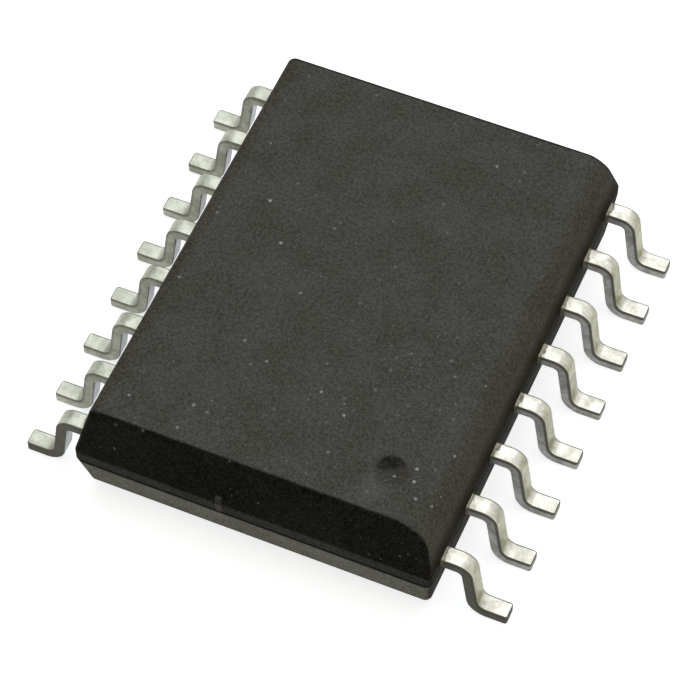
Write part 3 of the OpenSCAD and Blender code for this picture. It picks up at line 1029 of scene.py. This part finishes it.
def polished_silicon():
    """Dark grey silicon with a faint grid of circuit blocks in its upper face."""
    material, tree, shader, place = start_material("polished_silicon")
    blocks = add(tree, "ShaderNodeTexBrick", {
        "Vector": place, "Color1": (0.10, 0.12, 0.15, 1), "Color2": (0.16, 0.15, 0.19, 1),
        "Mortar": (0.26, 0.27, 0.25, 1), "Scale": 4.0, "Mortar Size": 0.02,
    }).outputs[0]
    uneven = place_group(tree, grain, Vector=place, Broad=2.0, Fine=30.0, Fine_share=0.5)
    tree.links.new(mix(tree, uneven["Tone"], blocks, (0.12, 0.13, 0.17, 1)), shader["Base Color"])
    shader["Metallic"].default_value = 0.6
    shader["Roughness"].default_value = 0.22
    tree.links.new(bump(tree, uneven["Height"], 0.0005), shader["Normal"])
    return material


def drawn_gold():
    """Bright wire with fine lines from the drawing die."""
    material, tree, shader, place = start_material("drawn_gold")
    uneven = place_group(tree, grain, Vector=place, Broad=6.0, Fine=60.0, Fine_share=0.4)
    colour = toned(tree, uneven["Tone"], [(0.72, 0.45, 0.14), (0.95, 0.68, 0.28)])
    tree.links.new(colour, shader["Base Color"])
    shader["Metallic"].default_value = 1.0
    shader["Roughness"].default_value = 0.25
    tree.links.new(bump(tree, uneven["Height"], 0.001), shader["Normal"])
    return material


def paint(node_name, material):
    """Gives a node of the frame a material, in place of its plain one."""
    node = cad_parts[node_name]
    if not node.material_slots:
        node.data.materials.append(material)
    for slot in node.material_slots:
        slot.material = material


paint("die_pad", rolled_copper())
paint("die_attach", silver_glue())
paint("silicon_die", polished_silicon())
gold = drawn_gold()
for number in range(1, 2 * LEADS_PER_SIDE + 1):
    paint(f"bond_wire_{number:02d}", gold)
print("inner pieces painted")

# %% [markdown]
# ## A white table
#
# The chip stands on a plain white surface that runs on to the horizon. Lit plainly, white paint
# comes out a little under full white, so the floor glows a touch for the rays that go straight
# to the camera or by way of a reflection. What falls on it as a shadow is still seen, and the
# glow adds no light to the chip. The world round it is white in the same way, and dim for all
# other rays.

# %% The floor and the world
FLOOR_HALF = 600.0
FLOOR_GREY, FLOOR_GLOW = 0.78, 0.70
AMBIENT = 0.20
floor_mesh = bpy.data.meshes.new("white_table")
corners = [(-1, -1, 0), (1, -1, 0), (1, 1, 0), (-1, 1, 0)]
floor_mesh.from_pydata((np.array(corners) * FLOOR_HALF * MM).tolist(), [], [(0, 1, 2, 3)])
floor = bpy.data.objects.new("white_table", floor_mesh)
scene.collection.objects.link(floor)


def seen_directly(tree):
    """1 for rays from the camera, from a reflection or through glass, 0 for all others."""
    path = add(tree, "ShaderNodeLightPath").outputs
    reflected = maths(tree, "MAXIMUM", path["Is Glossy Ray"], path["Is Transmission Ray"])
    return maths(tree, "MAXIMUM", path["Is Camera Ray"], reflected)


def white_paint():
    """Matte white, with a glow that only the camera and reflections see."""
    material, tree, shader, _ = start_material("white_paint")
    shader["Base Color"].default_value = (FLOOR_GREY, FLOOR_GREY, FLOOR_GREY, 1)
    shader["Roughness"].default_value = 0.9
    shader["Specular IOR Level"].default_value = 0.1
    shader["Emission Color"].default_value = (1, 1, 1, 1)
    tree.links.new(both(tree, seen_directly(tree), FLOOR_GLOW), shader["Emission Strength"])
    return material


floor_mesh.materials.append(white_paint())
world = bpy.data.worlds.new("studio")
scene.world = world
world.use_nodes = True
sky = world.node_tree
background = sky.nodes["Background"].inputs
sky.links.new(maths(sky, "MAXIMUM", seen_directly(sky), AMBIENT), background["Strength"])
background["Color"].default_value = (1, 1, 1, 1)
print("floor and world ready")

# %% [markdown]
# ## Soft light, with a fill in front
#
# A black block shows its shape by the light that each wall gets. One broad softbox hangs over
# the chip and a larger one stands behind it, so the top face is evenly lit and the shoulders of
# the legs shine, while the near wall stays dark. A smaller one from the right keeps the legs
# there bright, and a low one before the chip fills the near faces. The power of a softbox
# follows from its brightness and its area.

# %% Lamps
def softbox(name, place, aim, size, brightness):
    """Square area lamp at place, facing aim, both in mm. Power = brightness * pi * area."""
    lamp = bpy.data.lights.new(name, "AREA")
    lamp.size = size * MM
    lamp.energy = brightness * math.pi * lamp.size**2
    holder = bpy.data.objects.new(name, lamp)
    scene.collection.objects.link(holder)
    direction = np.array(aim, dtype=float) - np.array(place, dtype=float)
    back_x, back_y, back_z = -direction / np.linalg.norm(direction)
    holder.rotation_euler = (math.acos(back_z), 0.0, math.atan2(back_x, -back_y))
    holder.location = [v * MM for v in place]


middle = (0.0, 0.0, 1.0)
softbox("overhead", (0, 30, 150), middle, size=170, brightness=0.95)
softbox("behind", (-30, 180, 135), middle, size=265, brightness=0.90)
softbox("right", (150, 40, 80), middle, size=120, brightness=0.7)
softbox("front", (40, -190, 70), middle, size=200, brightness=1.2)

# %% [markdown]
# ## The camera
#
# The camera looks down on the chip from over its near end, turned towards the side of lead 1.
# Its place is given as on a studio stand: an angle round the chip, an angle above the table, a
# distance, and a slight tilt of the camera about its own axis.

# %% Camera
AZIMUTH, ELEVATION, ROLL = (math.radians(v) for v in (23.733, 55.533, -0.613))
DISTANCE = 61.784
AIM = np.array([0.124, -0.539, 1.0])
LENS, SENSOR = 158.585, 36.0
back = np.array([
    math.sin(AZIMUTH) * math.cos(ELEVATION),
    -math.cos(AZIMUTH) * math.cos(ELEVATION),
    math.sin(ELEVATION),
])
lens = bpy.data.cameras.new("camera")
lens.sensor_width = SENSOR
lens.lens = LENS
lens.clip_start = 1 * MM
camera = bpy.data.objects.new("camera", lens)
scene.collection.objects.link(camera)
level_right = np.array([math.cos(AZIMUTH), math.sin(AZIMUTH), 0.0])
level_up = np.cross(back, level_right)
right = level_right * math.cos(ROLL) + level_up * math.sin(ROLL)
up = level_up * math.cos(ROLL) - level_right * math.sin(ROLL)
pose = np.eye(4)
pose[:3, 0], pose[:3, 1], pose[:3, 2] = right, up, back
pose[:3, 3] = (AIM + back * DISTANCE) * MM
camera.matrix_world = pose.T.tolist()
scene.camera = camera
scene.view_settings.view_transform = "Standard"
print("camera at", [round(v / MM, 1) for v in camera.location], "mm")
